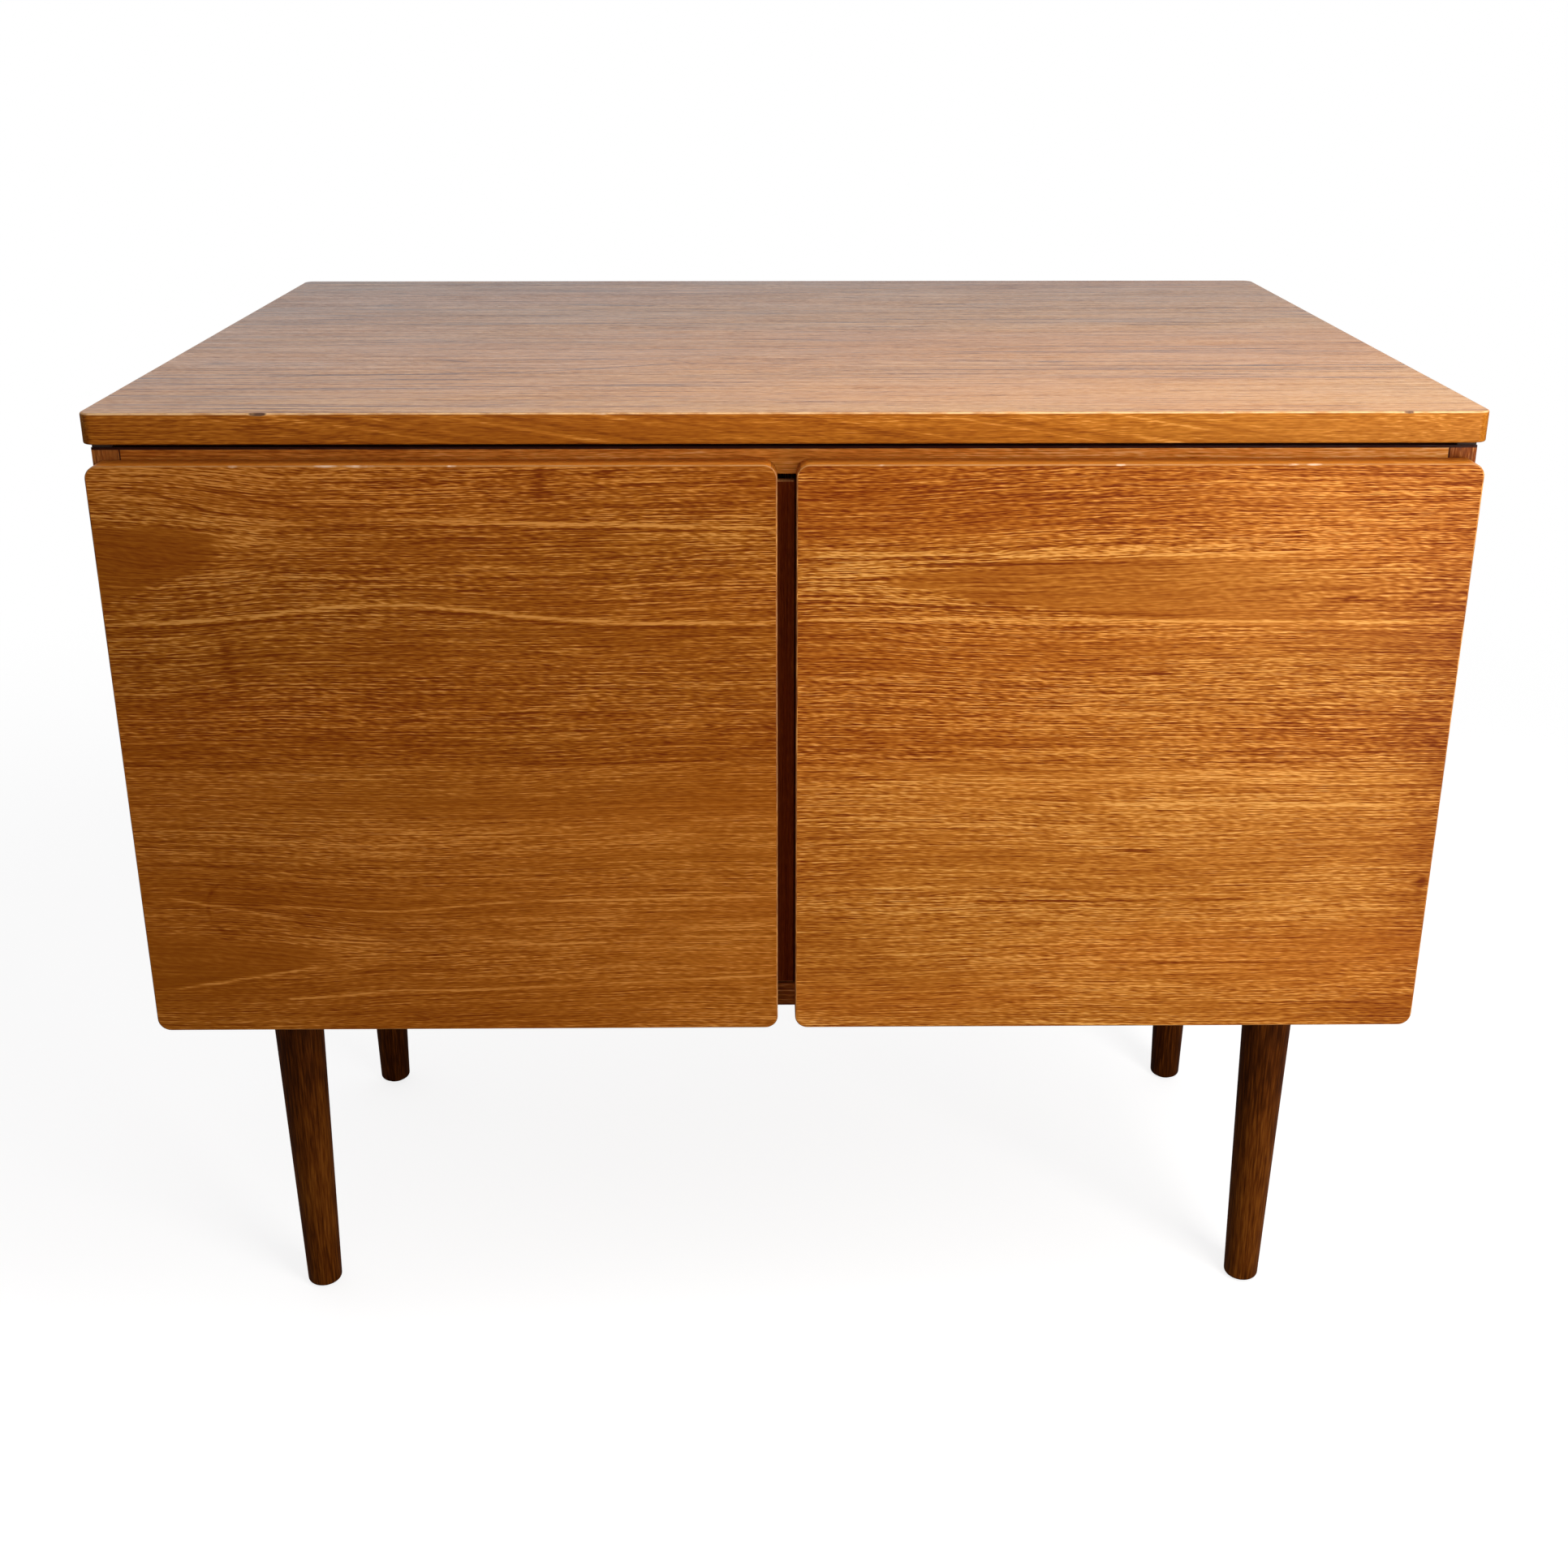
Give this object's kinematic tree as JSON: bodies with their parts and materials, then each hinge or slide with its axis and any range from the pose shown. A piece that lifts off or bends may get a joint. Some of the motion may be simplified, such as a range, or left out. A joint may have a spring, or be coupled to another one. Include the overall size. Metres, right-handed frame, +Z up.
{
  "type": "record cabinet",
  "caption": "Teak record cabinet: a low box with a floating top slab, overlay doors with a finger gap between them, inner record dividers and turned tapered legs.",
  "frame": {"origin": "on the floor, at the middle of the footprint", "axes": "+X to the right as seen from the front, +Y to the back, +Z up; the doors face -Y"},
  "size_m": [0.805, 0.56, 0.698],
  "materials": {
    "slab_teak": "oiled teak veneer, satin",
    "door_teak": "oiled teak veneer, satin",
    "carcass_teak": "oiled teak veneer, satin",
    "leg_teak": "dark stained turned wood, satin",
    "dark_batten": "dark stained, matt",
    "strip_teak": "dark stained, matt",
    "divider_ply": "thin plywood, matt",
    "back_ply": "thin plywood, matt",
    "brass": "drawn brass, satin",
    "zinc_steel": "zinc plated steel",
    "magnet_steel": "bare steel",
    "catch_plastic": "moulded brown plastic",
    "buffer_rubber": "matt rubber",
    "felt": "pressed felt"
  },
  "bodies": {
    "carcass": {"back_panel": "back_ply", "batten_back": "dark_batten", "batten_front": "dark_batten", "batten_left": "dark_batten", "batten_right": "dark_batten", "bottom_panel": "carcass_teak", "catch_case_left": "catch_plastic", "catch_case_right": "catch_plastic", "catch_magnet_left": "magnet_steel", "catch_magnet_right": "magnet_steel", "centre_partition": "carcass_teak", "divider_left_1": "divider_ply", "divider_left_2": "divider_ply", "divider_right_1": "divider_ply", "divider_right_2": "divider_ply", "glide_back_left": "felt", "glide_back_right": "felt", "glide_front_left": "felt", "glide_front_right": "felt", "hinge_left_lower_fixed_leaf": "brass", "hinge_left_lower_pin": "brass", "hinge_left_upper_fixed_leaf": "brass", "hinge_left_upper_pin": "brass", "hinge_right_lower_fixed_leaf": "brass", "hinge_right_lower_pin": "brass", "hinge_right_upper_fixed_leaf": "brass", "hinge_right_upper_pin": "brass", "leg_back_left": "leg_teak", "leg_back_right": "leg_teak", "leg_bolt_back_left": "zinc_steel", "leg_bolt_back_right": "zinc_steel", "leg_bolt_front_left": "zinc_steel", "leg_bolt_front_right": "zinc_steel", "leg_front_left": "leg_teak", "leg_front_right": "leg_teak", "leg_plate_back_left": "zinc_steel", "leg_plate_back_right": "zinc_steel", "leg_plate_front_left": "zinc_steel", "leg_plate_front_right": "zinc_steel", "side_panel_left": "carcass_teak", "side_panel_right": "carcass_teak", "top_panel": "carcass_teak", "top_slab": "slab_teak"},
    "left_door": {"door_left": "door_teak", "gap_cover_strip": "strip_teak", "door_buffers_left": "buffer_rubber", "catch_strike_left": "zinc_steel", "hinge_left_lower_door_leaf": "brass", "hinge_left_upper_door_leaf": "brass"},
    "right_door": {"door_right": "door_teak", "door_buffers_right": "buffer_rubber", "catch_strike_right": "zinc_steel", "hinge_right_lower_door_leaf": "brass", "hinge_right_upper_door_leaf": "brass"}
  },
  "joints": [
    {"name": "left_door_hinge", "type": "hinge", "parent": "carcass", "child": "left_door", "pos_m": [-0.4, -0.2635, 0.485], "axis": [0, 0, -1], "range_deg": [0, 175]},
    {"name": "right_door_hinge", "type": "hinge", "parent": "carcass", "child": "right_door", "pos_m": [0.4, -0.2635, 0.485], "axis": [0, 0, 1], "range_deg": [0, 175]}
  ]
}
